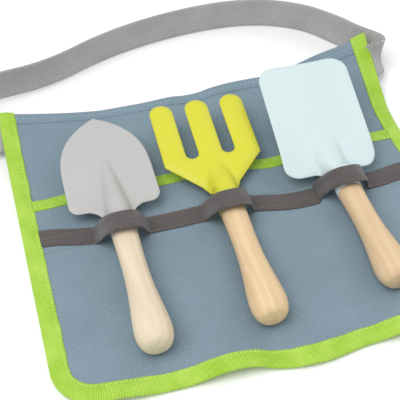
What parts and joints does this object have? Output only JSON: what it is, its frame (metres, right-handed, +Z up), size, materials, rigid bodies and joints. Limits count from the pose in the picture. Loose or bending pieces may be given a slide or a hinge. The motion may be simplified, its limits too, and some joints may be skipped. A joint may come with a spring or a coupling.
{
  "type": "toy tool belt",
  "caption": "Child's gardening tool belt: a cloth apron with a pocket, tape loops that hold a trowel, a fork and a spade, and a webbing waist strap with a buckle.",
  "frame": {"origin": "on the ground under the middle of the apron, which lies on its back", "axes": "+X along the apron's top edge, +Y up the apron towards the waist strap, +Z up out of the cloth"},
  "size_m": [0.4119, 0.3225, 0.0377],
  "materials": {
    "canvas": "woven polyester canvas, blue grey",
    "lime_tape": "ribbed grosgrain edge tape, lime green",
    "brown_tape": "flat woven tape, dark brown grey",
    "webbing": "polypropylene webbing, mid grey",
    "buckle_plastic": "moulded acetal, black",
    "grey_paint": "powder-coated pressed steel, light grey",
    "lime_paint": "powder-coated pressed steel, yellow green",
    "pale_blue_paint": "powder-coated pressed steel, pale blue",
    "beech": "turned and clear-waxed beech",
    "nail_steel": "bright wire nail"
  },
  "bodies": {
    "apron": {"apron_panel": "canvas", "top_hem": "canvas", "pocket_panel": "canvas", "pocket_binding": "lime_tape", "edge_binding": "lime_tape", "strap_tab_left": "webbing", "strap_tab_right": "webbing", "tape_loop_trowel": "brown_tape", "tape_loop_fork": "brown_tape", "tape_loop_spade": "brown_tape", "tape_run_1": "brown_tape", "tape_run_2": "brown_tape", "tape_run_3": "brown_tape", "tape_run_4": "brown_tape", "strap_long": "webbing", "strap_short": "webbing", "buckle_housing": "buckle_plastic", "buckle_insert": "buckle_plastic"},
    "trowel": {"trowel_blade": "grey_paint", "trowel_handle": "beech", "trowel_nail": "nail_steel"},
    "fork": {"fork_blade": "lime_paint", "fork_handle": "beech", "fork_nail": "nail_steel"},
    "spade": {"spade_blade": "pale_blue_paint", "spade_handle": "beech", "spade_nail": "nail_steel"},
    "prong_upper": {"buckle_prong_upper": "buckle_plastic"},
    "prong_lower": {"buckle_prong_lower": "buckle_plastic"},
    "keeper": {"strap_keeper": "buckle_plastic"}
  },
  "joints": [
    {"name": "trowel_draw", "type": "slide", "parent": "apron", "child": "trowel", "axis": [0, 1, 0], "range_m": [0, 0.078]},
    {"name": "fork_draw", "type": "slide", "parent": "apron", "child": "fork", "axis": [0, 1, 0], "range_m": [0, 0.09]},
    {"name": "spade_draw", "type": "slide", "parent": "apron", "child": "spade", "axis": [0, 1, 0], "range_m": [0, 0.09]},
    {"name": "prong_upper_squeeze", "type": "hinge", "parent": "apron", "child": "prong_upper", "pos_m": [-0.2044, 0.104, 0.0282], "axis": [0, 1, 0], "range_deg": [0, 8], "stiffness_Nm_per_rad": 0.02},
    {"name": "prong_lower_squeeze", "type": "hinge", "parent": "apron", "child": "prong_lower", "pos_m": [-0.2044, 0.104, 0.0048], "axis": [0, -1, 0], "range_deg": [0, 8], "stiffness_Nm_per_rad": 0.02},
    {"name": "keeper_slide", "type": "slide", "parent": "apron", "child": "keeper", "axis": [-0.9569, -0.2905, 0], "range_m": [-0.012, 0.012]}
  ]
}
